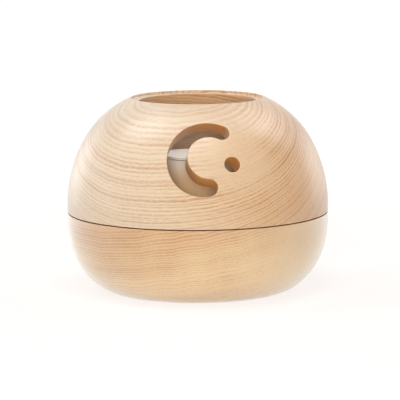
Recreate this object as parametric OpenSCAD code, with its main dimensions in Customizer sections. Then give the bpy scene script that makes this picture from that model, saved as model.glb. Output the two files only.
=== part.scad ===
// Turned wooden yarn bowl: a thick-walled dome that lifts off a shallow lower bowl.
// Yarn runs out through a hooked slot or a round feed hole in the dome, and the ball
// or cake of yarn sits round a pale core that turns on a pin in the floor.
// Millimetres, +Z up, origin in the middle of the foot; the slot faces -Y.

/* [Outline] */
// Largest radius, at the belly just above and below the seam
belly_r = 75; // [68:0.5:84]
// Distance from the seam to the widest line of each half
belly_rise = 4; // [1:0.5:8]
// Wall thickness of both halves, and of the floor
wall = 12.5; // [9:0.5:15]
// Height of the fine shadow gap turned into the outside of the seam, half in each part
seam_gap = 0.6; // [0.3:0.05:1.2]
// Depth of the shadow gap
seam_gap_depth = 1.6; // [0.8:0.1:3]
// Fine chamfer on both outer edges of the shadow gap
seam_ease = 0.2; // [0.1:0.05:0.6]

/* [Lower bowl] */
// Height of the seam above the surface that the bowl stands on
lower_h = 45.5; // [42:0.5:54]
// Radius of the flat foot
foot_r = 46; // [40:0.5:50]
// Radius of the curve from the foot into the side
heel_r = 20; // [16:0.5:24]
// Radius of the gentle curve of the lower side
lower_side_r = 57; // [50:1:66]
// Angle that the gentle curve of the lower side covers below the belly
lower_side_angle = 20; // [14:1:24]

/* [Upper dome] */
// Height of the dome from the seam to the rim of the mouth
dome_h = 65.5; // [58:0.5:70]
// Outer radius of the rim of the mouth
rim_r = 38.4; // [34:0.2:44]
// Radius of the gentle curve of the dome's side
dome_side_r = 77; // [66:1:90]
// Angle that the gentle curve of the dome's side covers above the belly
dome_side_angle = 28; // [20:1:34]

/* [Mouth] */
// Width of the narrow flat on top of the rim
rim_land = 0.8; // [0.5:0.1:2]
// Depth of the rebate that a lid would sit in
rebate_depth = 1.7; // [1:0.1:4]
// Width of the ledge at the bottom of the rebate
ledge_w = 4.2; // [2.5:0.1:6]
// Fine chamfer on the inner edges of the rim and of the ledge
mouth_ease = 0.3; // [0.1:0.05:0.4]

/* [Seam joint] */
// Height of the spigot that locates the dome
spigot_h = 4; // [2.5:0.5:7]
// Thickness of the spigot
spigot_t = 4.6; // [3:0.2:6]
// Radial play of the dome on the spigot, and the gap above it
spigot_play = 0.3; // [0.2:0.05:0.6]

/* [Hooked slot] */
// Turn of the slot round the bowl, from straight ahead
slot_turn = 6; // [-30:1:30]
// Height of the middle of the slot above the seam, on the outer surface
slot_h = 39.4; // [34:0.2:42]
// Tilt of the slot and feed hole above the horizontal, close to square to the wall
bore_tilt = 28; // [20:1:34]
// Radius of the round tongue that the slot bends about
tongue_r = 12.4; // [10:0.2:14]
// Width of the slot at the widest place, on its left
slot_w = 11.1; // [9:0.1:12]
// Radius of the slot's outer edge over the upper arm
upper_arm_r = 22.8; // [21.5:0.1:24]
// Radius of the slot's outer edge round the lower arm
lower_arm_r = 19.5; // [18.5:0.1:20.5]
// Direction from the tongue in which the slot is widest
wide_angle = 200; // [185:1:215]
// How far the slot's outer edge is set below the middle of the tongue
outer_drop = 1; // [0:0.1:1.5]
// Direction of the round end of the upper arm
upper_end_angle = 64; // [45:1:80]
// Direction of the round end of the lower arm
lower_end_angle = 267; // [255:1:285]

/* [Feed hole] */
// Radius of the round feed hole
hole_r = 4.4; // [3:0.1:5.5]
// Turn of the feed hole round the bowl, from straight ahead
hole_turn = 16.4; // [15:0.2:20]
// Height of the feed hole above the seam, on the outer surface
hole_h = 35.3; // [31:0.1:39]
// Depth of the countersink that eases the hole's outer edge
hole_ease = 0.4; // [0.2:0.1:0.8]

/* [Core] */
// Outer radius of the core
core_r = 21; // [16:0.5:26]
// Height of the core, cap included
core_h = 65.4; // [50:0.2:72]
// Wall of the core's tube
core_wall = 2.2; // [1.6:0.1:3]
// Thickness of the web that closes the tube's lower end
core_web = 4; // [2.5:0.5:6]
// Radius of the hub that turns on the pin
hub_r = 8; // [6.5:0.5:10]
// Height of the hub above the web
hub_h = 16; // [8:1:20]
// Thickness of the cap's disc
cap_t = 1.6; // [1.2:0.1:3]
// Depth of the ring under the cap that plugs into the tube
cap_plug = 5; // [3:0.5:8]
// Width of the fine groove between the cap and the tube
cap_groove = 0.4; // [0.2:0.1:0.8]
// Fine chamfer on the cap's upper edge
cap_ease = 0.3; // [0.1:0.1:0.8]

/* [Pin, washer and base] */
// Radius of the pin
pin_r = 4; // [3:0.25:5]
// Depth of the pin's hole in the floor
pin_seat = 7.5; // [5:0.5:8]
// Radial running clearance of the core and the washer on the pin
run_clear = 0.08; // [0.04:0.01:0.1]
// Thickness of the washer under the core
washer_t = 0.8; // [0.5:0.1:1.5]
// Radius of the washer
washer_r = 11; // [9:0.5:14]
// Thickness of the felt disc let into the foot
felt_t = 1.5; // [1:0.1:2]
// Width of the bare wooden ring round the felt
felt_margin = 6; // [3:0.5:10]
// Radial play of the felt in its recess
felt_play = 0.3; // [0.1:0.05:0.6]
// Chamfer on the free end of the pin
pin_ease = 1; // [0.5:0.1:2]
// How far the pin ends below the top of the hub
pin_drop = 2; // [1:0.5:5]

/* [Hidden] */
$fn = 96;
ash = [0.89, 0.77, 0.62];
ash_low = [0.88, 0.75, 0.59];
off_white = [0.86, 0.83, 0.79];
steel = [0.70, 0.71, 0.72];
nylon = [0.92, 0.91, 0.88];
felt_grey = [0.45, 0.42, 0.39];
far = 200;         // longer than any cut needs
bite = 0.5;        // shapes that join into one piece reach this far into each other
cross = 0.005;     // arcs that run smoothly into each other are set to cross by this
seam_z = lower_h;
rim_z = seam_z + dome_h;

// A radial section is the overlap of circles that run smoothly into each other.
function unit(a) = [cos(a), sin(a)];
function dot(a, b) = a[0] * b[0] + a[1] * b[1];
function arc_x(c, r, z) = c[0] + sqrt(r * r - (z - c[1]) * (z - c[1]));

// Dome: a side arc, then a crown arc that leaves it smoothly and ends at the rim.
dome_c = [belly_r - dome_side_r, seam_z + belly_rise];
dome_dir = unit(dome_side_angle);
dome_join = dome_c + dome_side_r * dome_dir;
rim_from_join = [rim_r, rim_z] - dome_join;
crown_r = -dot(rim_from_join, rim_from_join) / (2 * dot(rim_from_join, dome_dir));
crown_c = dome_join - crown_r * dome_dir;
function dome_out_x(z) = z < dome_join[1] ? arc_x(dome_c, dome_side_r, z)
                                          : arc_x(crown_c, crown_r, z);

// Lower bowl: a side arc and a heel arc on the foot, with one arc tangent to both.
low_c = [belly_r - lower_side_r, seam_z - belly_rise];
low_dir = unit(-lower_side_angle);
low_join = low_c + lower_side_r * low_dir;
heel_c = [foot_r, heel_r];
join_from_heel = low_join - heel_c;
turn_r = (dot(join_from_heel, join_from_heel) - heel_r * heel_r)
         / (2 * (dot(join_from_heel, low_dir) - heel_r));
turn_c = low_join - turn_r * low_dir;
heel_dir = (heel_c - turn_c) / norm(heel_c - turn_c);

// Mouth, spigot, core and base.
seat_r = rim_r - rim_land;
ledge_z = rim_z - rebate_depth;
mouth_r = seat_r - ledge_w;
spigot_in_r = belly_r - wall;
spigot_r = spigot_in_r + spigot_t;
floor_z = wall;
core_z = floor_z + washer_t;
tube_top_z = core_z + core_h - cap_t - cap_groove;
cap_z = core_z + core_h - cap_t;
pin_top_z = core_z + core_web + hub_h - pin_drop;
felt_r = foot_r - felt_margin;
cut_depth = 3 * wall;    // cuts through the dome's wall start this far in, short of the far side

// Slot outline, about the middle of the tongue.
upper_arm_c = (slot_w + tongue_r - upper_arm_r) * unit(wide_angle) - [0, outer_drop];
lower_arm_c = (slot_w + tongue_r - lower_arm_r + cross) * unit(wide_angle)
              - [0, outer_drop];
// Radius of a round end that touches the tongue and the arm's outer edge.
function end_r(a, c, r) =
    let (t = tongue_r * unit(a) - c)
    cross + (r * r - dot(t, t)) / (2 * (r + dot(t, unit(a))));
upper_end_r = end_r(upper_end_angle, upper_arm_c, upper_arm_r);
lower_end_r = end_r(lower_end_angle, lower_arm_c, lower_arm_r);
upper_end_c = (tongue_r + upper_end_r - cross) * unit(upper_end_angle);
lower_end_c = (tongue_r + lower_end_r - cross) * unit(lower_end_angle);
function beyond(c, p) = c + far * (p - c) / norm(p - c);

// All of a section on the near side of an arc: inside its circle, or nearer the axis
// than its centre, or in the children, which cover the heights of the next arc.
module within(c, r) {
    translate(c) circle(r);
    if (c[0] > 0) translate([0, -far]) square([c[0], 2 * far]);
    children();
}

// Section of the dome filled to the axis, with its arcs moved in by inset.
module dome_section(inset, top_z) {
    join_z = dome_c[1] + (dome_side_r - inset) * dome_dir[1];
    intersection() {
        translate([0, seam_z]) square([far, top_z - seam_z]);
        within(dome_c, dome_side_r - inset);
        within(crown_c + cross * dome_dir, crown_r - inset) square([far, join_z]);
    }
}

// Section of the lower bowl filled to the axis, with its arcs moved in by inset.
module lower_section(inset) {
    side_z = low_c[1] + (lower_side_r - inset) * low_dir[1];
    heel_z = heel_c[1] + (heel_r - inset) * heel_dir[1];
    intersection() {
        translate([0, inset]) square([far, seam_z - inset]);
        within(low_c, lower_side_r - inset);
        within(turn_c + cross * low_dir, turn_r - inset)
            translate([0, side_z]) square([far, far]);
        within(heel_c + cross * [heel_dir[0], -1], heel_r - inset)
            translate([0, heel_z]) square([far, far]);
    }
}

// Cut for one half of the shadow gap and the chamfer on its edge, where the outside has
// radius r; side is 1 above the seam and -1 below.
module seam_cut(r, side) {
    edge_z = seam_z + side * seam_gap / 2;
    translate([r - seam_gap_depth, seam_z - seam_gap / 2]) square([far, seam_gap]);
    polygon([[r - seam_ease, edge_z], [r + wall, edge_z],
             [r + wall, edge_z + side * (seam_ease + wall)]]);
}

// Chamfer cut at the upper edge of a hole of radius r that opens upwards at height z.
module mouth_cut(r, z) {
    polygon([[r - bite, z - mouth_ease - bite], [r + mouth_ease + bite, z + bite],
             [r - bite, z + bite]]);
}

// Puts a cut on the dome's outer surface, its Z axis pointing out of the wall.
module on_dome(turn, h) {
    z = seam_z + h;
    rotate([0, 0, turn]) translate([0, -dome_out_x(z), z]) rotate([90 - bore_tilt, 0, 0])
        children();
}

// Outer edge of the slot: a wide arc over the upper arm runs into a tighter lower one.
module slot_outer() {
    intersection() {
        translate(upper_arm_c) circle(upper_arm_r);
        translate(upper_arm_c) rotate(wide_angle - 180) translate([-far, 0])
            square([2 * far, far]);
    }
    translate(lower_arm_c) circle(lower_arm_r);
}

// The hooked slot, open to the right, with round ends.
module slot_outline() {
    difference() {
        slot_outer();
        circle(tongue_r);
        polygon([[0, 0], upper_end_c, beyond(upper_arm_c, upper_end_c), [far, far],
                 [far, -far], beyond(lower_arm_c, lower_end_c), lower_end_c]);
    }
    translate(upper_end_c) circle(upper_end_r);
    translate(lower_end_c) circle(lower_end_r);
}

// Lower half: shallow bowl with a flat foot, a spigot ring and a seat for the pin.
module lower_bowl() {
    color(ash_low) difference() {
        rotate_extrude() {
            difference() {
                lower_section(0);
                lower_section(wall);
                seam_cut(arc_x(low_c, lower_side_r, seam_z - seam_gap / 2), -1);
                square([felt_r + felt_play, felt_t]);
            }
            translate([spigot_in_r, seam_z - bite]) square([spigot_t, spigot_h + bite]);
        }
        translate([0, 0, floor_z - pin_seat]) cylinder(r = pin_r, h = far);
    }
}

// Upper half: dome with the mouth, the rebate, the spigot's recess, the slot and hole.
module upper_dome() {
    color(ash) difference() {
        rotate_extrude() difference() {
            dome_section(0, rim_z);
            dome_section(wall, ledge_z);
            translate([0, seam_z + spigot_h]) square([mouth_r, far]);
            translate([0, ledge_z]) square([seat_r, far]);
            mouth_cut(mouth_r, ledge_z);
            mouth_cut(seat_r, rim_z);
            translate([0, seam_z - bite])
                square([spigot_r + spigot_play, spigot_h + spigot_play + bite]);
            seam_cut(dome_out_x(seam_z + seam_gap / 2), 1);
        }
        on_dome(slot_turn, slot_h)
            translate([0, 0, -cut_depth]) linear_extrude(2 * cut_depth) slot_outline();
        on_dome(hole_turn, hole_h) {
            translate([0, 0, -cut_depth]) cylinder(r = hole_r, h = 2 * cut_depth);
            translate([0, 0, -hole_ease])
                cylinder(r1 = hole_r, r2 = hole_r + 3 * hole_ease, h = 3 * hole_ease);
        }
    }
}

// Steel pin pressed into the floor, chamfered at its free end.
module core_pin() {
    color(steel) {
        translate([0, 0, floor_z - pin_seat])
            cylinder(r = pin_r, h = pin_top_z - pin_ease - floor_z + pin_seat);
        translate([0, 0, pin_top_z - pin_ease])
            cylinder(r1 = pin_r, r2 = pin_r - pin_ease, h = pin_ease);
    }
}

// Nylon washer that the core turns on.
module core_washer() {
    color(nylon) rotate_extrude() translate([pin_r + run_clear, floor_z])
        square([washer_r - pin_r - run_clear, washer_t]);
}

// Pale tube with a web and a hub that turns on the pin.
module core_tube() {
    color(off_white) rotate_extrude() {
        translate([core_r - core_wall, core_z]) square([core_wall, tube_top_z - core_z]);
        translate([hub_r - bite, core_z])
            square([core_r - core_wall - hub_r + 2 * bite, core_web]);
        translate([pin_r + run_clear, core_z])
            square([hub_r - pin_r - run_clear, core_web + hub_h]);
    }
}

// Flat cap that closes the tube, with a ring that plugs into it.
module core_cap() {
    color(off_white) rotate_extrude() {
        polygon([[0, cap_z], [core_r, cap_z], [core_r, cap_z + cap_t - cap_ease],
                 [core_r - cap_ease, cap_z + cap_t], [0, cap_z + cap_t]]);
        translate([core_r - 2 * core_wall, cap_z - cap_plug])
            square([core_wall, cap_plug + bite]);
    }
}

// Felt disc let into the foot.
module base_felt() {
    color(felt_grey) cylinder(r = felt_r, h = felt_t);
}

lower_bowl();
upper_dome();
core_pin();
core_washer();
core_tube();
core_cap();
base_felt();
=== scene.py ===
import math
import bpy
import numpy as np
from mathutils import Matrix, Vector
from mathutils.geometry import delaunay_2d_cdt


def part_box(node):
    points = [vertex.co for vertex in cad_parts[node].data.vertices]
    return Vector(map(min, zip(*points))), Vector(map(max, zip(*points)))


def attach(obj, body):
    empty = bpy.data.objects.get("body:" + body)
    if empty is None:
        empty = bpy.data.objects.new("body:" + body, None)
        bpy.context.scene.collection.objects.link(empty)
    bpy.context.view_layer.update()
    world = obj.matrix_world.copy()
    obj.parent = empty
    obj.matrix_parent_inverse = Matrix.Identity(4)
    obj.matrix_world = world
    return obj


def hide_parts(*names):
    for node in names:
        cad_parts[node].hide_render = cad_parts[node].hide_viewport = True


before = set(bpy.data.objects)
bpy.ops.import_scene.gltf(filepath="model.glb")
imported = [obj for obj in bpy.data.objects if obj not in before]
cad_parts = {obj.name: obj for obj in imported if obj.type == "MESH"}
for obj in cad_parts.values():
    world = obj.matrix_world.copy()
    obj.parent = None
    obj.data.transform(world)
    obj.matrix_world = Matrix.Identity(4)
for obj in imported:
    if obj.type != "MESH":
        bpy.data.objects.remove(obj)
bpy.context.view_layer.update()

# --- Studio ---------------------------------------------------------------------------
# A white table that runs on out of sight behind the bowl, seen from the front and a
# little above through a long lens. Large soft boxes hang round it, and a fill light
# stands behind the camera.

scene = bpy.context.scene
scene.view_settings.view_transform = "Standard"


def aim(thing, place, target, roll=0.0):
    """Puts a camera or lamp at place with its -Z axis towards target, rolled by degrees."""
    turn = (Vector(target) - Vector(place)).to_track_quat("-Z", "Y").to_matrix()
    thing.location = place
    thing.rotation_euler = (turn @ Matrix.Rotation(math.radians(roll), 3, "Z")).to_euler()


camera_data = bpy.data.cameras.new("camera")
camera_data.sensor_width = 36.0
camera_data.lens = 234.9
camera_data.clip_end = 20.0
camera = bpy.data.objects.new("camera", camera_data)
scene.collection.objects.link(camera)
scene.camera = camera
camera_distance = 1.50375
camera_rise = math.radians(8.44)
camera_roll = -0.33
camera_target = Vector((0.00134, 0.0, 0.05135))
camera_way = Vector((0.0, -math.cos(camera_rise), math.sin(camera_rise)))
aim(camera, camera_target + camera_distance * camera_way, camera_target, camera_roll)

bowl_middle = Vector((0.0, 0.0, 0.06))


def soft_box(name, way, distance, size, watts, colour=(1.0, 1.0, 1.0)):
    """A square area lamp, distance metres from the bowl's middle in the direction way."""
    data = bpy.data.lights.new(name, "AREA")
    data.shape = "SQUARE"
    data.size = size
    data.energy = watts
    data.color = colour
    lamp = bpy.data.objects.new(name, data)
    scene.collection.objects.link(lamp)
    aim(lamp, bowl_middle + distance * Vector(way).normalized(), bowl_middle)
    return lamp


soft_box("main_box", (-0.5, 0.08, 0.8), 1.15, 0.55, 3.7, (0.96, 1.0, 1.04))
soft_box("top_box", (0.0, -0.35, 1.0), 1.15, 0.45, 4.3)
soft_box("back_box", (0.6, 0.4, 0.8), 1.15, 0.6, 2.7)
soft_box("left_box", (-1.0, 0.0, 0.25), 1.1, 0.6, 1.0, (0.9, 1.0, 1.12))
soft_box("front_box", (-0.15, -0.8, 0.6), 1.15, 0.45, 0.6)
soft_box("left_edge_box", (-0.95, 0.9, 0.12), 1.2, 0.5, 1.5)
soft_box("right_edge_box", (0.95, 0.9, 0.12), 1.2, 0.5, 1.2)
# The fill light shows in no reflection.
fill_box = soft_box("fill_box", (-0.02, -1.0, 0.16), 1.7, 0.35, 13.0, (1.04, 1.0, 0.86))
fill_box.visible_glossy = False

world = bpy.data.worlds.new("studio")
scene.world = world
world.use_nodes = True
world_tree = world.node_tree
world_tree.nodes.clear()


def node(tree, kind, inputs=(), **settings):
    """A new node in tree: settings are set on it, and each input, found by its name or
    its number, is linked or given its value."""
    made = tree.nodes.new(kind)
    for name, value in settings.items():
        setattr(made, name, value)
    for key, value in dict(inputs).items():
        if isinstance(value, bpy.types.NodeSocket):
            tree.links.new(value, made.inputs[key])
        else:
            made.inputs[key].default_value = value
    return made


def calc(tree, operation, *values, **settings):
    """The result of a Math node."""
    inputs = enumerate(values)
    return node(tree, "ShaderNodeMath", inputs, operation=operation, **settings).outputs[0]


def mix_values(tree, share, first, second):
    """The number that lies share of the way from first to second."""
    return node(tree, "ShaderNodeMix", {"Factor": share, 2: first, 3: second}).outputs[0]


def mix_colours(tree, share, first, second):
    """The colour that lies share of the way from first to second."""
    inputs = {"Factor": share, 6: first, 7: second}
    return node(tree, "ShaderNodeMix", inputs, data_type="RGBA").outputs[2]


def ramp(tree, value, low, high, start=0.0, end=1.0, kind="SMOOTHSTEP"):
    """Carries value from the range low to high over to start to end, and holds it there
    past the ends."""
    inputs = {0: value, 1: low, 2: high, 3: start, 4: end}
    return node(tree, "ShaderNodeMapRange", inputs, interpolation_type=kind).outputs[0]


def seen_or_reflected(tree):
    """1 for rays from the camera and from a glossy surface, and 0 for all others."""
    rays = node(tree, "ShaderNodeLightPath").outputs
    return calc(tree, "MAXIMUM", rays["Is Camera Ray"], rays["Is Glossy Ray"])


# The backdrop looks white, and lights the bowl far less than it looks.
backdrop_white = (1.0, 0.995, 0.985, 1.0)
backdrop_light = 0.08
ambient = mix_values(world_tree, seen_or_reflected(world_tree), backdrop_light, 1.0)
background = node(world_tree, "ShaderNodeBackground", {"Color": backdrop_white, "Strength": ambient})
node(world_tree, "ShaderNodeOutputWorld", {"Surface": background.outputs[0]})


def material(name):
    """A new material with its Principled BSDF, its node tree and its output node."""
    made = bpy.data.materials.new(name)
    made.use_nodes = True
    made.node_tree.nodes.clear()
    shader = node(made.node_tree, "ShaderNodeBsdfPrincipled")
    output = node(made.node_tree, "ShaderNodeOutputMaterial", {"Surface": shader.outputs[0]})
    return made, made.node_tree, shader, output


def shader_of(made):
    """The Principled BSDF of a material."""
    return made.node_tree.nodes["Principled BSDF"]


def mesh_object(name, points, faces, smooth=True):
    """An object at the origin from an (n, 3) array of points and a list of faces."""
    mesh = bpy.data.meshes.new(name)
    mesh.from_pydata(points, [], faces)
    mesh.update()
    if smooth:
        mesh.shade_smooth()
    made = bpy.data.objects.new(name, mesh)
    scene.collection.objects.link(made)
    return made


# The table lies a hair below the foot. It looks like a paper that glows: a little dimmer
# near the bowl, and as white as the backdrop further off.
table_half = 6.0
table_z = -0.00002
near_r, far_r = 0.12, 0.9
near_glow = (0.85, 0.815, 0.8, 1.0)
far_glow = (1.0, 1.0, 1.0, 1.0)
table_corners = table_half * np.array([[-1, -1, 0], [1, -1, 0], [1, 1, 0], [-1, 1, 0]])
table = mesh_object("table", table_corners + (0.0, 0.0, table_z), [(0, 1, 2, 3)], smooth=False)
table_white, tree, shader, output = material("table_white")
shader.inputs["Base Color"].default_value = (0.93, 0.92, 0.91, 1.0)
shader.inputs["Roughness"].default_value = 0.9
paper = node(tree, "ShaderNodeBsdfDiffuse", {"Color": (0.22, 0.22, 0.22, 1.0)})
place = node(tree, "ShaderNodeTexCoord").outputs["Object"]
away = node(tree, "ShaderNodeVectorMath", {0: place}, operation="LENGTH").outputs["Value"]
white = mix_colours(tree, ramp(tree, away, near_r, far_r), near_glow, far_glow)
glow = node(tree, "ShaderNodeEmission", {"Color": white})
seen = node(tree, "ShaderNodeAddShader", {0: paper.outputs[0], 1: glow.outputs[0]})
shown = seen_or_reflected(tree)
mixed = node(tree, "ShaderNodeMixShader", {0: shown, 1: shader.outputs[0], 2: seen.outputs[0]})
tree.links.new(mixed.outputs[0], output.inputs["Surface"])
table.data.materials.append(table_white)


# --- Lower bowl -----------------------------------------------------------------------
# The shallow lower half, turned on a lathe from a block of pale ash with its rings
# nearly level. It is sanded fine and rubbed with a satin oil. Sizes are in millimetres.

mm = 0.001
mm_per_metre = 1000.0


def linear(red, green, blue):
    """An sRGB colour given from 0 to 255, as the linear colour that a shader takes."""
    part = np.array([red, green, blue]) / 255.0
    value = np.where(part <= 0.04045, part / 12.92, ((part + 0.055) / 1.055) ** 2.4)
    return (*value.tolist(), 1.0)


def new_group(name, inputs, outputs):
    """An empty node group with sockets: inputs are names, types and values, and outputs
    are names and types. Also returns what its input node puts out."""
    group = bpy.data.node_groups.new(name, "ShaderNodeTree")
    for label, kind, value in inputs:
        group.interface.new_socket(label, in_out="INPUT", socket_type=kind).default_value = value
    for label, kind in outputs:
        group.interface.new_socket(label, in_out="OUTPUT", socket_type=kind)
    return group, node(group, "NodeGroupInput").outputs


def growth_rings():
    """The node group for ash: year rings, pores and fibres in a block of wood.

    A level is tilt . p + bend . (x x, y y, z z) + twist . (y z, z x, x y) in
    millimetres, moved by noises that run along the fibres and by folds, arches side by
    side along X. Rings are counted along the level. Each one darkens over its first
    third and fades to pale wood over the rest."""
    number, vector_kind, colour_kind = "NodeSocketFloat", "NodeSocketVector", "NodeSocketColor"
    group, ins = new_group("growth_rings", (
        ("Point", vector_kind, (0.0, 0.0, 0.0)),
        ("Fibre", vector_kind, (0.1, 1.0, 1.0)),
        ("Tilt", vector_kind, (0.0, 0.0, 1.0)),
        ("Bend", vector_kind, (0.0, 0.0, 0.0)),
        ("Twist", vector_kind, (0.0, 0.0, 0.0)),
        ("Ring Width", number, 2.3),
        ("Ring Taper", number, 0.0),
        ("Wave", number, 0.6),
        ("Drift", number, 3.0),
        ("Fold", number, 0.0),
        ("Fold Pitch", number, 19.0),
        ("Fold Start", number, 0.0),
        ("Calm Centre", vector_kind, (0.0, 0.0, 0.0)),
        ("Calm Radius", number, 30.0),
        ("Shade Way", vector_kind, (0.0, 0.0, 0.0)),
        ("Warm Start", number, 0.5),
        ("Pale", colour_kind, (0.8, 0.6, 0.4, 1.0)),
        ("Warm", colour_kind, (0.8, 0.6, 0.4, 1.0)),
        ("Dark", colour_kind, (0.5, 0.3, 0.2, 1.0))),
        (("Color", colour_kind), ("Line", number), ("Relief", number)))

    def add(first, second, **settings):
        return calc(group, "ADD", first, second, **settings)

    def times(first, second):
        return calc(group, "MULTIPLY", first, second)

    def vector(operation, *values):
        return node(group, "ShaderNodeVectorMath", enumerate(values), operation=operation).outputs

    def noise(place, scale, detail=2.0, dimensions="3D", roughness=0.5):
        inputs = {"Scale": scale, "Detail": detail, "Roughness": roughness}
        inputs["W" if dimensions == "1D" else "Vector"] = place
        return node(group, "ShaderNodeTexNoise", inputs, noise_dimensions=dimensions).outputs["Fac"]

    def swing(value, amount):
        """A noise turned into a movement to both sides of 0, amount wide in all."""
        return times(calc(group, "SUBTRACT", value, 0.5), amount)

    # Grain is drawn out along the fibres. Ragged lies between that and the plain place.
    point = ins["Point"]
    grain = vector("MULTIPLY", point, ins["Fibre"])[0]
    ragged = vector("MULTIPLY", point, (0.35, 0.35, 0.35))[0]
    ragged = vector("MULTIPLY_ADD", grain, (0.65, 0.65, 0.65), ragged)[0]

    # The level, with a fine waver and a broad drift.
    flat = vector("DOT_PRODUCT", point, ins["Tilt"])["Value"]
    bent = vector("DOT_PRODUCT", vector("MULTIPLY", point, point)[0], ins["Bend"])["Value"]
    x, y, z = node(group, "ShaderNodeSeparateXYZ", {0: point}).outputs
    shifted = [node(group, "ShaderNodeCombineXYZ", enumerate(order)).outputs[0]
               for order in ((y, z, x), (z, x, y))]
    twisted = vector("DOT_PRODUCT", vector("MULTIPLY", *shifted)[0], ins["Twist"])["Value"]
    fine = swing(noise(ragged, scale=0.5, detail=3.0, roughness=0.6), ins["Wave"])
    broad = swing(noise(point, scale=0.016, detail=1.0), ins["Drift"])
    middling = swing(noise(point, scale=0.06, detail=1.0), times(ins["Wave"], 2.0))
    wavering = add(fine, add(broad, middling))
    level = add(add(flat, bent), add(twisted, wavering))

    # The folds: arches that wander a little sideways and meet in soft valleys.
    wander = swing(noise(point, scale=0.03, detail=1.0), 14.0)
    across = add(calc(group, "SUBTRACT", x, ins["Fold Start"]), wander)
    arch = calc(group, "SINE", calc(group, "DIVIDE", times(across, math.pi), ins["Fold Pitch"]))
    arch = calc(group, "SMOOTH_MAX", arch, times(arch, -1.0), 0.25)
    level = calc(group, "SUBTRACT", level, times(arch, ins["Fold"]))

    # The rings' widths vary, so the count of rings runs fast and slow with the level.
    pace = swing(noise(level, scale=0.11, dimensions="1D"), 1.8)
    taper = times(times(level, level), ins["Ring Taper"])
    count = add(add(calc(group, "DIVIDE", level, ins["Ring Width"]), pace), taper)
    share = calc(group, "FRACT", count)
    whole = calc(group, "FLOOR", count)
    chance = node(group, "ShaderNodeTexWhiteNoise", {"W": whole}, noise_dimensions="1D")
    strength = calc(group, "MULTIPLY_ADD", chance.outputs["Value"], 0.7, 0.3)

    # A ring's line is soft, broken into short pieces by the pores, weaker in patches and
    # calm round one place.
    line = times(ramp(group, share, 0.0, 0.3), ramp(group, share, 0.3, 0.95, 1.0, 0.0))
    line = times(line, strength)
    pores = noise(ragged, scale=0.75, roughness=0.6)
    broken = ramp(group, pores, 0.32, 0.62, 0.65, 1.0)
    patch = ramp(group, noise(grain, scale=0.05), 0.3, 0.7, 0.6, 1.0)
    away = vector("DISTANCE", point, ins["Calm Centre"])["Value"]
    calm = ramp(group, calc(group, "DIVIDE", away, ins["Calm Radius"]), 0.35, 1.3, 0.2, 1.0)
    line = times(line, times(times(patch, broken), calm))

    # Warmer wood has stronger lines.
    # Along the Shade Way the wood turns from Pale to Warm: painted light on one side and painted shade
    # on the other. The noise on top is the wood's own uneven tone.
    warmth = add(vector("DOT_PRODUCT", point, ins["Shade Way"])["Value"], ins["Warm Start"])
    warmth = add(warmth, swing(noise(grain, scale=0.05), 0.6), use_clamp=True)
    line = times(line, calc(group, "MULTIPLY_ADD", warmth, 0.7, 0.7))

    # Broad bands, fibres, and pores that are deepest in the dark lines.
    band = times(swing(noise(level, scale=0.14, detail=1.0, dimensions="1D"), 0.5), calm)
    fibre = swing(noise(grain, scale=1.1, detail=3.0, roughness=0.65), 0.8)
    pore = ramp(group, noise(grain, scale=2.3, detail=1.0), 0.58, 0.72, 0.0, 0.3)
    pore = times(pore, calc(group, "MULTIPLY_ADD", line, 1.2, 0.3))
    tone = add(add(line, band), add(fibre, pore), use_clamp=True)
    ground = mix_colours(group, warmth, ins["Pale"], ins["Warm"])
    colour = mix_colours(group, tone, ground, ins["Dark"])
    relief = calc(group, "SUBTRACT", 1.0, tone)
    node(group, "NodeGroupOutput", {"Color": colour, "Line": line, "Relief": relief})
    return group


rings = growth_rings()


def millimetres(tree):
    """The shaded point in the object's own coordinates, in millimetres."""
    metres = node(tree, "ShaderNodeTexCoord").outputs["Object"]
    return node(tree, "ShaderNodeMapping", {"Vector": metres, "Scale": (mm_per_metre,) * 3}).outputs[0]


def group_in(tree, group, inputs, values):
    """A node that holds a group, with inputs as for node() and values by the names of the
    group's sockets, in small letters and with underscores."""
    held = node(tree, "ShaderNodeGroup", inputs, node_tree=group)
    for key, value in values.items():
        held.inputs[key.replace("_", " ").title()].default_value = value
    return held


def add_bump(tree, shader, height, depth, strength):
    """Gives a shader relief from a height of 0 to 1, depth metres deep."""
    bump = node(tree, "ShaderNodeBump", {"Height": height, "Distance": depth, "Strength": strength})
    tree.links.new(bump.outputs[0], shader.inputs["Normal"])


def ash(name, colours, coat=0.7, **values):
    """An ash material: the colours are for pale wood, warm wood and the ring lines, coat
    is the weight of the oil's gloss, and values are the growth rings' own values."""
    made, tree, shader, _ = material(name)
    wood = group_in(tree, rings, {"Point": millimetres(tree)}, values)
    for key, value in zip(("Pale", "Warm", "Dark"), colours):
        wood.inputs[key].default_value = linear(*value)
    tree.links.new(wood.outputs["Color"], shader.inputs["Base Color"])
    rough = ramp(tree, wood.outputs["Line"], 0.0, 1.0, 0.42, 0.55, kind="LINEAR")
    tree.links.new(rough, shader.inputs["Roughness"])
    shader.inputs["Coat Weight"].default_value = coat
    shader.inputs["Coat Roughness"].default_value = 0.36
    shader.inputs["Sheen Weight"].default_value = 0.12
    shader.inputs["Sheen Roughness"].default_value = 0.45
    add_bump(tree, shader, wood.outputs["Relief"], 0.00003, 0.5)
    return made
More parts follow.
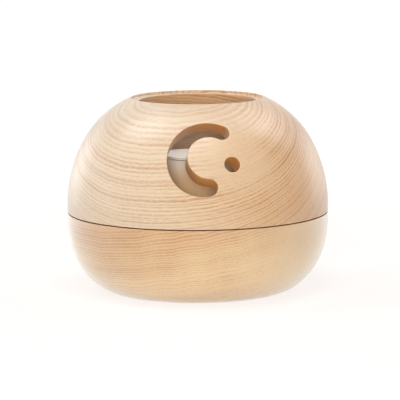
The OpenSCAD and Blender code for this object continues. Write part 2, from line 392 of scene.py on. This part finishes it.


# Turned and oiled outside and left bare inside. The faces of the shadow gap are painted
# dark red-brown as painted shade.
# Its shade_way makes the bowl paler low down and to the right, as painted light from the table's
# bounce and the bright edge, and warmer towards the seam.
lower_grain = dict(fibre=(1.0, 0.1, 1.0), tilt=(-0.19, -0.09, 1.0), ring_width=1.15, ring_taper=-0.003,
                   wave=0.6, drift=3.0, fold=0.75, fold_pitch=19.0, fold_start=5.0,
                   calm_centre=(62.0, -50.0, 22.0), calm_radius=42.0,
                   shade_way=(-0.004, 0.0, 0.022), warm_start=-0.15)
oiled_wood = ((236, 205, 160), (214, 171, 122), (184, 128, 80))
bare_wood = ((242, 213, 180), (238, 206, 170), (208, 170, 130))
gap_shade_colours = ((152, 82, 42), (142, 74, 36), (110, 52, 24))
ash_lower = ash("ash_lower", oiled_wood, coat=1.0, **lower_grain)
shader = shader_of(ash_lower)
shader.inputs["Coat Roughness"].default_value = 0.28
shader.inputs["Coat IOR"].default_value = 1.7
shader.inputs["Sheen Weight"].default_value = 0.8
ash_lower_bare = ash("ash_lower_bare", bare_wood, coat=0.0, **lower_grain)
ash_groove_shade = ash("ash_groove_shade", gap_shade_colours, coat=0.0, **lower_grain)
shader = shader_of(ash_groove_shade)
shader.inputs["Specular IOR Level"].default_value = 0.1
shader.inputs["Sheen Weight"].default_value = 0.0


def unit(degrees):
    """The direction at an angle in degrees, as (cosine, sine)."""
    return np.array([math.cos(math.radians(degrees)), math.sin(math.radians(degrees))])


def arc(centre, radius, start, end, step):
    """Points on the circle round centre from angle start to end, about a step apart."""
    count = max(3, round(abs(math.radians(end - start)) * radius / step) + 1)
    turn = np.radians(np.linspace(start, end, count))
    return centre + radius * np.column_stack([np.cos(turn), np.sin(turn)])


def eased(points, radii, pieces=5, sharp=15.0, most=0.45):
    """A closed profile with every corner sharper than the angle sharp rounded off: the
    corner gives way to an arc of its radius that touches both of its sides and takes no
    more than the share most of either. A corner on the axis stays."""
    result = []
    neighbours = np.roll(points, 1, 0), np.roll(points, -1, 0)
    for here, before, after, radius in zip(points, *neighbours, radii):
        into = here - before
        out = after - here
        room = most * min(np.linalg.norm(into), np.linalg.norm(out))
        into = into / np.linalg.norm(into)
        out = out / np.linalg.norm(out)
        turn = math.atan2(into[0] * out[1] - into[1] * out[0], into @ out)
        if abs(math.degrees(turn)) < sharp or here[0] == 0.0:
            result.append(here)
            continue
        reach = min(radius * math.tan(abs(turn) / 2.0), room)
        size = reach / math.tan(abs(turn) / 2.0)
        side = np.array([-into[1], into[0]]) * math.copysign(1.0, turn)
        centre = here - reach * into + size * side
        spoke_x, spoke_y = -size * side
        for share in np.linspace(0.0, 1.0, pieces + 1):
            cosine, sine = math.cos(share * turn), math.sin(share * turn)
            turned = (cosine * spoke_x - sine * spoke_y, sine * spoke_x + cosine * spoke_y)
            result.append(centre + turned)
    return np.array(result)


def revolved(profile, turns=360):
    """A closed profile of (radius, height) turned about Z, as points and quads. Point
    (i, j) is profile point i at the angle 2 pi j / turns from straight ahead, to the
    right. Faces point out of the solid where the profile runs anticlockwise."""
    turn = np.arange(turns) * 2.0 * math.pi / turns
    radius, height = profile[:, :1], profile[:, 1:]
    points = np.stack([radius * np.sin(turn), -radius * np.cos(turn), height + 0.0 * turn], axis=-1)
    i, j = np.meshgrid(np.arange(len(profile)), np.arange(turns), indexing="ij")
    up, right = (i + 1) % len(profile), (j + 1) % turns
    corners = [i * turns + j, i * turns + right, up * turns + right, up * turns + j]
    return points, np.stack(corners, axis=-1)


def rise(z, centre, radius):
    """Angle in degrees at which a circle reaches height z on its right."""
    return math.degrees(math.asin((z - centre[1]) / radius))


# Both halves.
wall = 12.5
belly_r = 75.0
belly_rise = 4.0
seam_z = mm_per_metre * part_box("upper_dome")[0].z
gap_depth = 1.6
gap_half = 0.3
edge_ease = 0.35
seam_ease = 0.2
grid_step = 1.25
# How close a face lies to a surface or a height that it belongs to.
on_surface = 0.15
gap_slack = 0.1
near_height = 0.02

# The lower bowl.
foot_r = 46.0
heel_r = 20.0
low_side_r = 57.0
low_side_angle = -20.0
felt_recess_r = 40.3
felt_t = 1.5
spigot_outer_r = 67.1
spigot_inner_r = belly_r - wall
spigot_h = 4.0
pin_hole_r = 4.0
pin_hole_z = 5.0

# The outside is a heel arc on the foot, a side arc, and one arc between that touches both.
low_centre = np.array([belly_r - low_side_r, seam_z - belly_rise])
heel_centre = np.array([foot_r, heel_r])
from_heel = low_centre + low_side_r * unit(low_side_angle) - heel_centre
turn_r = (from_heel @ from_heel - heel_r ** 2) / (2.0 * (from_heel @ unit(low_side_angle) - heel_r))
turn_centre = heel_centre + from_heel - turn_r * unit(low_side_angle)
heel_angle = math.degrees(math.atan2(*(heel_centre - turn_centre)[::-1]))


def lower_arcs(inset, top_z):
    """The lower bowl's outside moved in by inset, from the foot up to the height top_z."""
    top = rise(top_z, low_centre, low_side_r - inset)
    return np.vstack([
        arc(heel_centre, heel_r - inset, -90.0, heel_angle, grid_step),
        arc(turn_centre, turn_r - inset, heel_angle, low_side_angle, grid_step)[1:],
        arc(low_centre, low_side_r - inset, low_side_angle, top, grid_step)[1:]])


lower_outside = lower_arcs(0.0, seam_z - gap_half)
lower_inside = lower_arcs(wall, seam_z)[::-1]
lower_edge_r = lower_outside[-1][0]
lower_gap_r = lower_edge_r - gap_depth
spigot_top = seam_z + spigot_h
sharp_profile = np.vstack([
    [(0.0, felt_t), (felt_recess_r, felt_t), (felt_recess_r, 0.0)],
    lower_outside,
    [(lower_gap_r, seam_z - gap_half), (lower_gap_r, seam_z), (spigot_outer_r, seam_z)],
    [(spigot_outer_r, spigot_top), (spigot_inner_r, spigot_top), (spigot_inner_r, seam_z)],
    lower_inside,
    [(pin_hole_r, wall), (pin_hole_r, pin_hole_z), (0.0, pin_hole_z)]])


def seam_eases(profile):
    """The radius for each corner of a profile: finer on both outer edges of the gap."""
    near_seam = np.abs(profile[:, 1] - seam_z) < 2.0 * gap_half
    outer = profile[:, 0] > lower_gap_r + 0.5 * gap_depth
    return np.where(near_seam & outer, seam_ease, edge_ease)


def kept(points, faces):
    """Points and faces with the points that no face uses left out."""
    used = np.unique(np.concatenate([np.ravel(f) for f in faces]))
    renumber = np.zeros(len(points), dtype=int)
    renumber[used] = np.arange(len(used))
    return points[used], [renumber[f].tolist() for f in faces]


def finish_piece(thing, kinds, materials, body, node_name):
    """Gives each face of a piece its material by number, and puts it in a node's place."""
    for made in materials:
        thing.data.materials.append(made)
    thing.data.polygons.foreach_set("material_index", kinds)
    thing.modifiers.new("even_shading", "WEIGHTED_NORMAL")
    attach(thing, body)
    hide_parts(node_name)


def closed_on_axis(profile, points, quads, kinds):
    """The points and faces of a revolved profile that starts and ends on the axis: the
    points of each such end become one, and faces left with two corners go. kinds gives
    each segment of the profile a number, and comes back with one for each face."""
    numbers = np.arange(quads.shape[0] * quads.shape[1]).reshape(quads.shape[:2])
    on_axis = profile[:, 0] == 0.0
    numbers[on_axis] = numbers[on_axis][:, :1]
    faces = [list(dict.fromkeys(f)) for f in numbers.ravel()[quads].reshape(-1, 4).tolist()]
    points, whole = kept(points.reshape(-1, 3), [face for face in faces if len(face) > 2])
    kinds = np.repeat(kinds, quads.shape[1]).tolist()
    return points, whole, [kind for kind, face in zip(kinds, faces) if len(face) > 2]


# The finish of each segment of the profile, as its number in the piece's materials.
OILED, BARE, GROOVE, ENDS, INSIDE = range(5)
lower_profile = eased(sharp_profile, seam_eases(sharp_profile))
middles = 0.5 * (lower_profile + np.roll(lower_profile, -1, axis=0))
r, z = middles.T
depth = np.linalg.norm(middles[:, None] - lower_outside[None], axis=2).min(axis=1)
bare = (depth > 0.5 * wall) & (z > 0.5 * (felt_t + pin_hole_z))
in_gap = (z > seam_z - gap_half - near_height) & (z < seam_z + near_height)
in_gap &= (r > lower_gap_r - gap_slack) & (r < lower_edge_r - on_surface)
kinds = np.where(in_gap, GROOVE, np.where(bare, BARE, OILED))
points, faces, kinds = closed_on_axis(lower_profile, *revolved(lower_profile), kinds)
lower = mesh_object("lower_bowl_turned", mm * points, faces)
lower_finishes = (ash_lower, ash_lower_bare, ash_groove_shade)
finish_piece(lower, kinds, lower_finishes, "base", "lower_bowl")

# --- Core pin and washer --------------------------------------------------------------
# A ground steel pin pressed into the floor of the lower bowl, and the thin nylon washer
# on it that the core turns on.

def finish_node(name, made):
    """Gives a CAD node a material."""
    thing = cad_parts[name]
    thing.data.materials.clear()
    thing.data.materials.append(made)


def mottled():
    """The node group for smooth stuff that is not quite even: cloudy noise over fine
    noise turns the colour darker, and both are put out as a height as well."""
    group, ins = new_group("mottled", (
        ("Point", "NodeSocketVector", (0.0, 0.0, 0.0)),
        ("Stretch", "NodeSocketVector", (1.0, 1.0, 1.0)),
        ("Cloud Scale", "NodeSocketFloat", 0.1),
        ("Grit Scale", "NodeSocketFloat", 2.0),
        ("Amount", "NodeSocketFloat", 0.1),
        ("Color", "NodeSocketColor", (0.8, 0.8, 0.8, 1.0))),
        (("Color", "NodeSocketColor"), ("Height", "NodeSocketFloat")))
    stretched = {0: ins["Point"], 1: ins["Stretch"]}
    place = node(group, "ShaderNodeVectorMath", stretched, operation="MULTIPLY").outputs[0]
    noises = []
    for scale, detail in (("Cloud Scale", 2.0), ("Grit Scale", 3.0)):
        inputs = {"Vector": place, "Scale": ins[scale], "Detail": detail}
        noises.append(node(group, "ShaderNodeTexNoise", inputs).outputs["Fac"])
    height = ramp(group, mix_values(group, 0.5, *noises), 0.35, 0.65, kind="LINEAR")
    darker = calc(group, "MULTIPLY", calc(group, "SUBTRACT", 1.0, height), ins["Amount"])
    colour = mix_colours(group, darker, ins["Color"], (0.0, 0.0, 0.0, 1.0))
    node(group, "NodeGroupOutput", {"Color": colour, "Height": height})
    return group


mottle = mottled()


def even_stuff(name, colour, rough, relief, **values):
    """A material with the mottled group: rough is the roughness at its low and high
    places, and relief the depth of its relief in metres. Also returns the place in
    millimetres and the node that holds the group."""
    made, tree, shader, _ = material(name)
    place = millimetres(tree)
    surface = group_in(tree, mottle, {"Point": place, "Color": colour}, values)
    height = surface.outputs["Height"]
    tree.links.new(surface.outputs["Color"], shader.inputs["Base Color"])
    tree.links.new(ramp(tree, height, 0.0, 1.0, *rough, kind="LINEAR"), shader.inputs["Roughness"])
    add_bump(tree, shader, height, relief, 0.6)
    return made, place, surface


# The grinding marks run round the pin, so the noise is drawn out across its axis.
steel = even_stuff("steel", (0.6, 0.61, 0.62, 1.0), rough=(0.24, 0.38), relief=0.000004,
                   stretch=(0.05, 0.05, 6.0), cloud_scale=0.4, grit_scale=2.5, amount=0.12)[0]
shader_of(steel).inputs["Metallic"].default_value = 1.0
finish_node("core_pin", steel)
nylon = even_stuff("nylon", (0.8, 0.78, 0.73, 1.0), rough=(0.42, 0.55), relief=0.00001,
                   cloud_scale=0.25, grit_scale=3.0, amount=0.06)[0]
shader_of(nylon).inputs["Subsurface Weight"].default_value = 0.2
shader_of(nylon).inputs["Subsurface Scale"].default_value = 0.001
finish_node("core_washer", nylon)

# --- Core -----------------------------------------------------------------------------
# The tube that turns on the pin, and the flat cap pressed into it. Both are moulded in an
# off-white plastic, smooth and satin. Its colour runs from warm tan low down to clean
# white at the top: painted shade below and painted light near the mouth above.
painted_shade_white, shade_z = linear(240, 207, 170), 63.0
painted_light_white, light_z = linear(253, 247, 240), 77.0
core_white, place, surface = even_stuff(
    "core_white", (0.9, 0.9, 0.9, 1.0), rough=(0.36, 0.46), relief=0.000012,
    cloud_scale=0.06, grit_scale=1.6, amount=0.05)
tree = core_white.node_tree
height = node(tree, "ShaderNodeSeparateXYZ", {0: place}).outputs["Z"]
painted_shading = mix_colours(tree, ramp(tree, height, shade_z, light_z), painted_shade_white, painted_light_white)
tree.links.new(painted_shading, surface.inputs["Color"])
for name in ("core_tube", "core_cap"):
    finish_node(name, core_white)

# --- Base felt ------------------------------------------------------------------------
# A disc punched from a sheet of pressed wool felt, 80 mm across and 1.5 mm thick, glued
# into the recess of the foot. Its rim is a little frayed and its face is not quite even.
felt_r = 40.0
felt_top = felt_t - 0.02
felt_edge = 0.35
felt_step = 1.5
calm_r = 8.0
across = np.arange(0.0, felt_r - 2.0 * felt_edge, felt_step)
felt_profile = np.vstack([
    np.column_stack([across, np.full(len(across), 0.0)]), [(felt_r, 0.0), (felt_r, felt_top)],
    np.column_stack([across, np.full(len(across), felt_top)])[::-1]])
felt_profile = eased(felt_profile, np.full(len(felt_profile), felt_edge))
points, quads = revolved(felt_profile, turns=240)
angle = np.arctan2(points[:, :, 0], -points[:, :, 1])
r = np.hypot(points[:, :, 0], points[:, :, 1])
# The rim goes in and out by 1 - 0.003 (2 + sin 9a + sin (23a + 1)) / 4, and the face is
# dimpled upwards by 0.05 mm (2 + sin(r + 5a) + sin(1.7r - 8a)) / 4, less within calm_r.
frayed = 1.0 - 0.003 * (2.0 + np.sin(9.0 * angle) + np.sin(23.0 * angle + 1.0)) / 4.0
dimple = 0.05 * (2.0 + np.sin(r + 5.0 * angle) + np.sin(1.7 * r - 8.0 * angle)) / 4.0
points[:, :, :2] *= frayed[..., None]
points[:, :, 2] += dimple * np.minimum(r / calm_r, 1.0) * (points[:, :, 2] < 0.5 * felt_t)
points, faces, _ = closed_on_axis(felt_profile, points, quads, np.zeros(len(felt_profile), dtype=int))
felt_disc = mesh_object("felt_disc", mm * points, faces)
felt, place, surface = even_stuff(
    "felt", (0.2, 0.172, 0.15, 1.0), rough=(0.85, 0.97), relief=0.00012,
    cloud_scale=0.18, grit_scale=1.4, amount=0.45)
# Short fibres lie every way: the thin ridges where two drawn-out noises meet their middle.
tree = felt.node_tree
ridges = []
for stretch in ((0.3, 2.2, 1.0), (2.0, 0.35, 1.0)):
    drawn = node(tree, "ShaderNodeMapping", {"Vector": place, "Scale": stretch}).outputs[0]
    wisps = {"Vector": drawn, "Scale": 1.1, "Detail": 2.0, "Distortion": 1.5}
    wisps = node(tree, "ShaderNodeTexNoise", wisps).outputs["Fac"]
    off = calc(tree, "ABSOLUTE", calc(tree, "SUBTRACT", wisps, 0.5))
    ridges.append(ramp(tree, off, 0.0, 0.03, 1.0, 0.0, kind="LINEAR"))
fibres = calc(tree, "MULTIPLY", calc(tree, "MAXIMUM", *ridges), 0.5)
tinted = mix_colours(tree, fibres, surface.outputs["Color"], (0.36, 0.32, 0.28, 1.0))
shader = shader_of(felt)
tree.links.new(tinted, shader.inputs["Base Color"])
shader.inputs["Sheen Weight"].default_value = 0.5
shader.inputs["Sheen Roughness"].default_value = 0.6
felt_disc.data.materials.append(felt)
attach(felt_disc, "base")
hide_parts("base_felt")

# --- Upper dome -----------------------------------------------------------------------
# The thick-walled upper half, turned from a second block of ash with its rings at a
# slant, then cut through with the hooked slot and bored for the feed hole. Every edge is
# eased by hand with fine paper, and the inside is left bare.
# Its shade_way makes the dome pale on the left as a painted highlight, and warm on the right as
# painted shade.
upper_grain = dict(fibre=(0.1, 1.0, 1.0), tilt=(-0.558, -1.773, 3.487),
                   bend=(-0.0099, -0.0150, -0.0149), twist=(0.0093, 0.0031, -0.0028),
                   ring_width=2.15, wave=0.9, drift=4.0,
                   calm_centre=(20.0, -60.0, 84.0), calm_radius=25.0,
                   shade_way=(0.0095, 0.0, 0.0), warm_start=0.22)
# The inside's shade_way makes the wall warmer towards the mouth, as painted shade under the crown, and
# paler lower down.
inside_grain = dict(fibre=(0.1, 1.0, 1.0), tilt=(0.12, 0.05, 1.0), ring_width=1.9, wave=0.9,
                    drift=5.0, calm_centre=(0.0, 0.0, 60.0), calm_radius=1.0,
                    shade_way=(0.0, 0.0, 0.05), warm_start=-4.2)
dome_oiled = ((226, 203, 176), (220, 171, 119), (182, 128, 82))
mouth_bare = ((250, 232, 212), (223, 180, 139), (190, 144, 104))
# The inner wall is bare ash made paler still: painted light for the light that falls in through the
# mouth and the slot.
inside_bare_and_lit = ((255, 236, 218), (252, 219, 192), (232, 187, 154))
# The cuts' walls are darker and redder than the outside: partly end grain that drank more oil, partly
# painted shade inside the slot and the hole.
end_grain_and_shade = ((224, 166, 92), (218, 156, 82), (186, 122, 64))
ash_upper = ash("ash_upper", dome_oiled, coat=0.9, **upper_grain)
ash_upper_bare = ash("ash_upper_bare", mouth_bare, coat=0.0, **inside_grain)
ash_inside = ash("ash_inside", inside_bare_and_lit, coat=0.0, **inside_grain)
ash_ends_shaded = ash("ash_ends_shaded", end_grain_and_shade, **upper_grain)

rim_z = mm_per_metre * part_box("upper_dome")[1].z
belly_z = seam_z + belly_rise
side_r = 77.0
side_angle = 28.0
rim_r = 38.4
seat_r = 37.6
mouth_r = 33.4
rebate = 1.7
ledge_z = rim_z - rebate
spigot_play = 0.3
recess_r = spigot_outer_r + spigot_play
recess_z = spigot_top + spigot_play
cut_tilt = 28.0
turns = 360

# The outside is a side arc, and a crown arc that leaves it smoothly and ends at the rim.
side_centre = np.array([belly_r - side_r, belly_z])
join = side_centre + side_r * unit(side_angle)
to_rim = np.array([rim_r, rim_z]) - join
crown_r = -(to_rim @ to_rim) / (2.0 * to_rim @ unit(side_angle))
crown_centre = join - crown_r * unit(side_angle)


def dome_radius(z, inset):
    """Radius of the dome's outside at height z, moved in by inset: the side arc's circle
    below the height where the arcs join, and the crown arc's circle above it."""
    radii = []
    for (x, middle_z), radius in ((side_centre, side_r - inset), (crown_centre, crown_r - inset)):
        radii.append(x + np.sqrt(np.maximum(radius ** 2 - (z - middle_z) ** 2, 0.0)))
    join_z = side_centre[1] + (side_r - inset) * unit(side_angle)[1]
    return np.where(z < join_z, *radii)


seam_angle = rise(seam_z + gap_half, side_centre, side_r)
recess_angle = rise(recess_z, side_centre, side_r - wall)
rim_angle = rise(rim_z, crown_centre, crown_r)
mouth_angle = math.degrees(math.acos((mouth_r - crown_centre[0]) / (crown_r - wall)))
outside = np.vstack([
    arc(side_centre, side_r, seam_angle, side_angle, grid_step),
    arc(crown_centre, crown_r, side_angle, rim_angle, grid_step)[1:]])
inside = np.vstack([
    arc(crown_centre, crown_r - wall, mouth_angle, side_angle, grid_step),
    arc(side_centre, side_r - wall, side_angle, recess_angle, grid_step)[1:]])
gap_r = outside[0][0] - gap_depth
profile = np.vstack([
    outside,
    [(seat_r, rim_z), (seat_r, ledge_z), (mouth_r, ledge_z)],
    inside,
    [(recess_r, recess_z), (recess_r, seam_z), (gap_r, seam_z), (gap_r, seam_z + gap_half)]])
profile = eased(profile, seam_eases(profile))
grid, quads = revolved(profile, turns)
lengths = np.linalg.norm(np.diff(profile, axis=0), axis=1)
length = np.concatenate([[0.0], np.cumsum(lengths)])


class Cut:
    """A cut through the dome's wall along its own axis, given by its outline.

    outline is (n, 2) points about the axis, anticlockwise seen from outside, and away is
    the direction at each point out of the cut and into the wood. turn is the cut's turn
    round the bowl from straight ahead, in degrees, and height its height above the seam."""

    # How far from the cut's middle its lines may meet the outside and the inside, and how
    # often that stretch is halved to find where.
    outer_reach = (-12.0, 12.0)
    inner_reach = (-35.0, -4.0)
    halvings = 40

    def __init__(self, outline, away, turn, height):
        z = seam_z + height
        cosine, sine = unit(turn)
        spin = np.array([[cosine, -sine, 0.0], [sine, cosine, 0.0], [0.0, 0.0, 1.0]])
        self.middle = spin @ (0.0, -float(dome_radius(z, 0.0)), z)
        self.right = spin @ (1.0, 0.0, 0.0)
        cosine, sine = unit(cut_tilt)
        self.up = spin @ (0.0, sine, cosine)
        self.axis = spin @ (0.0, -cosine, sine)
        self.outline = outline
        self.away = away

    def meets(self, flat, inset):
        """Where lines along the axis through the flat points meet the dome's outside
        moved in by inset, found by halving the stretch that holds the meeting point."""
        start = self.middle + flat[:, :1] * self.right + flat[:, 1:] * self.up
        low, high = self.outer_reach if inset == 0.0 else self.inner_reach
        low, high = np.full(len(flat), low), np.full(len(flat), high)
        for _ in range(self.halvings):
            middle = 0.5 * (low + high)
            place = start + middle[:, None] * self.axis
            beyond = np.hypot(place[:, 0], place[:, 1]) > dome_radius(place[:, 2], inset)
            high = np.where(beyond, middle, high)
            low = np.where(beyond, low, middle)
        return start + high[:, None] * self.axis

    def wall_rows(self, ease, bends=5, steps=8):
        """Rows of points down the wall of the cut, from the outside in. At both ends the
        wall turns into the surface through a quarter circle of radius ease: the point at
        angle a lies over outline + ease (1 - sin a) away, sunk by ease (1 - cos a)."""
        rows = []
        for inset, sink in ((0.0, -ease), (wall, ease)):
            rounded = []
            for angle in np.radians(np.linspace(0.0, 90.0, bends + 1)):
                flat = self.outline + ease * (1.0 - math.sin(angle)) * self.away
                sunk = sink * (1.0 - math.cos(angle)) * self.axis
                rounded.append(self.meets(flat, inset) + sunk)
            rows.append(rounded)
        outer, inner = rows[0], rows[1][::-1]
        shares = np.linspace(0.0, 1.0, steps + 1)[1:-1]
        between = [outer[-1] + share * (inner[0] - outer[-1]) for share in shares]
        return np.array(outer + between + inner)


# The slot's outline: the tongue's circle, a wide arc over the upper arm, a tighter one
# round the lower arm, and a round end on each arm.
slot_turn, slot_height = 6.0, 39.4
tongue_r = 12.4
slot_w = 11.1
upper_arm_r, lower_arm_r = 22.8, 19.5
wide_angle = 200.0
outer_drop = np.array([0.0, -1.0])
upper_end_angle, lower_end_angle = 64.0, 267.0
upper_arm = (slot_w + tongue_r - upper_arm_r) * unit(wide_angle) + outer_drop
lower_arm = (slot_w + tongue_r - lower_arm_r) * unit(wide_angle) + outer_drop
hole_turn, hole_height = 16.4, 35.3
hole_r = 4.4
outline_step = 0.5
cut_ease = 0.5


def round_end(angle, arm, arm_r):
    """Centre and radius of the circle that touches the tongue at angle and an arm's arc."""
    offset = tongue_r * unit(angle) - arm
    radius = (arm_r ** 2 - offset @ offset) / (2.0 * (arm_r + offset @ unit(angle)))
    return (tongue_r + radius) * unit(angle), radius


def heading(way):
    """The angle of a direction, in degrees from 0 to 360."""
    return math.degrees(math.atan2(way[1], way[0])) % 360.0


def spokes(radius, start, end):
    """Directions from angle start up to end, outline_step apart on a circle of radius."""
    return arc(np.zeros(2), 1.0, start, end, outline_step / radius)[:-1]


upper_end, upper_end_r = round_end(upper_end_angle, upper_arm, upper_arm_r)
lower_end, lower_end_r = round_end(lower_end_angle, lower_arm, lower_arm_r)
upper_touch = heading(upper_end - upper_arm)
lower_touch = heading(lower_end - lower_arm)
outline, away = [], []
for centre, radius, start, end in (
        (upper_arm, upper_arm_r, upper_touch, wide_angle),
        (lower_arm, lower_arm_r, wide_angle, lower_touch),
        (lower_end, lower_end_r, lower_touch, lower_end_angle + 180.0),
        (np.zeros(2), tongue_r, lower_end_angle, upper_end_angle),
        (upper_end, upper_end_r, upper_end_angle + 180.0, upper_touch + 360.0)):
    ways = spokes(radius, start, end)
    outline.append(centre + radius * ways)
    away.append(-ways if radius == tongue_r else ways)
slot = Cut(np.vstack(outline), np.vstack(away), slot_turn, slot_height)
ways = spokes(hole_r, 0.0, 360.0)
hole = Cut(hole_r * ways, ways, hole_turn, hole_height)
cuts = (slot, hole)

# The walls of both cuts, in strips of faces. The strips at both ends of a wall, where it
# turns into the surface, are oiled, and those between them show end grain, darkened
# further with painted shade.
surface_strips = 3
points = [grid.reshape(-1, 3)]
faces = []
strip_kinds = []
rims = {}
start = len(points[0])
for cut in cuts:
    rows = cut.wall_rows(cut_ease)
    index = start + np.arange(rows.shape[0] * rows.shape[1]).reshape(rows.shape[:2])
    following = np.roll(index, -1, axis=1)
    strips = np.stack([index[:-1], following[:-1], following[1:], index[1:]], axis=-1)
    finishes = np.full(strips.shape[:2], OILED)
    finishes[surface_strips:-surface_strips] = ENDS
    faces += strips.reshape(-1, 4).tolist()
    strip_kinds += finishes.ravel().tolist()
    points.append(rows.reshape(-1, 3))
    start += index.size
    rims[cut] = (index[0], index[-1])
points = np.vstack(points)


def outside_of(ring, spots):
    """Which spots lie outside a closed ring: those whose line to the right crosses it an
    even number of times."""
    (from_x, from_y), (to_x, to_y) = ring.T, np.roll(ring, -1, axis=0).T
    x, y = spots[:, :1], spots[:, 1:]
    crossing = (from_y > y) != (to_y > y)
    with np.errstate(divide="ignore", invalid="ignore"):
        where = from_x + (y - from_y) * (to_x - from_x) / (to_y - from_y)
    return (crossing & (x < where)).sum(axis=1) % 2 == 0


# On each side of the wall a window of the grid round both cuts is left out. Laid flat, as
# the angle times a radius and the length along the profile, the window is filled with
# triangles that run from its border to the cuts' rims.
chart_radii = (65.0, 52.0)
above_seam, below_rim = 6.0, 8.0
margin = 3.0
clear_of_rims = 1.1
inside_outlines = 1
same_point = 1e-6
in_window = np.zeros(quads.shape[:2], dtype=bool)
angle = np.arctan2(points[:, 0], -points[:, 1])
for side, (chart_r, inset) in enumerate(zip(chart_radii, (0.0, wall))):
    on_side = np.abs(profile[:, 0] - dome_radius(profile[:, 1], inset)) < near_height
    on_side &= (profile[:, 1] > seam_z + above_seam) & (profile[:, 1] < rim_z - below_rim)
    side_rows = np.flatnonzero(on_side)
    # The rows of the inside run down, so the rims are turned round there.
    loops = [rims[cut][side][::1 - 2 * side] for cut in cuts]
    around = np.concatenate(loops)
    order = side_rows[np.argsort(profile[side_rows, 1])]
    along = np.interp(points[:, 2], profile[order, 1], length[order])
    flat = np.column_stack([angle * chart_r, along])
    low, high = flat[around].min(axis=0) - margin, flat[around].max(axis=0) + margin
    rows = [i for i in side_rows if low[1] <= length[i] <= high[1]]
    step = 2.0 * math.pi / turns * chart_r
    columns = np.arange(math.floor(low[0] / step), math.ceil(high[0] / step) + 1)
    block = np.array([[i * turns + j % turns for j in columns] for i in rows])
    in_window[np.ix_(rows[:-1], columns[:-1] % turns)] = True
    border = np.concatenate([block[0, :-1], block[:-1, -1], block[-1, :0:-1], block[:0:-1, 0]])
    # Points of the grid in a cut or near its rim are left out.
    middle = block[1:-1, 1:-1].ravel()
    gaps = np.linalg.norm(points[middle][:, None] - points[around][None], axis=2)
    keep = gaps.min(axis=1) > clear_of_rims
    for cut in cuts:
        lines = points[middle] - cut.middle
        spots = np.column_stack([lines @ cut.right, lines @ cut.up])
        keep &= outside_of(cut.outline + cut_ease * cut.away, spots)
    chosen = np.concatenate([border, *loops, middle[keep]])
    ends = np.cumsum([0, len(border)] + [len(loop) for loop in loops])
    fixed = [list(range(first, last)) for first, last in zip(ends[:-1], ends[1:])]
    made = delaunay_2d_cdt([Vector(p) for p in flat[chosen]], [], fixed, inside_outlines, same_point)
    _, _, triangles, sources, _, outlines = made
    # A triangle inside the border alone is wood, and one inside a rim as well is a gap.
    for triangle, inside_of in zip(triangles, outlines):
        if inside_of == [0]:
            faces.append([int(chosen[sources[corner][0]]) for corner in triangle])

faces += quads[~in_window].tolist()
points, faces = kept(points, faces)
dome = mesh_object("upper_dome_turned", mm * points, faces)
centres = np.empty(3 * len(faces))
dome.data.polygons.foreach_get("center", centres)
x, y, z = mm_per_metre * centres.reshape(-1, 3).T
r = np.hypot(x, y)
# The wall of the mouth runs from just under its ledge down to mouth_reach below the rim.
mouth_reach, under_ledge = 15.0, 0.1
in_mouth = (r < mouth_r + on_surface) & (z > rim_z - mouth_reach) & (z < ledge_z - under_ledge)
in_gap = z < seam_z + gap_half + near_height
in_gap &= (r > gap_r - gap_slack) & (r < gap_r + gap_depth - on_surface)
on_inside = np.abs(r - dome_radius(z, wall)) < on_surface
kinds = np.where(in_mouth, BARE, np.where(on_inside, INSIDE, OILED))
# The faces in the shadow gap take the painted shade.
kinds[in_gap] = GROOVE
# The faces of the cuts' walls come first.
kinds[:len(strip_kinds)] = strip_kinds
dome_finishes = (ash_upper, ash_upper_bare, ash_groove_shade, ash_ends_shaded, ash_inside)
finish_piece(dome, kinds, dome_finishes, "dome", "upper_dome")
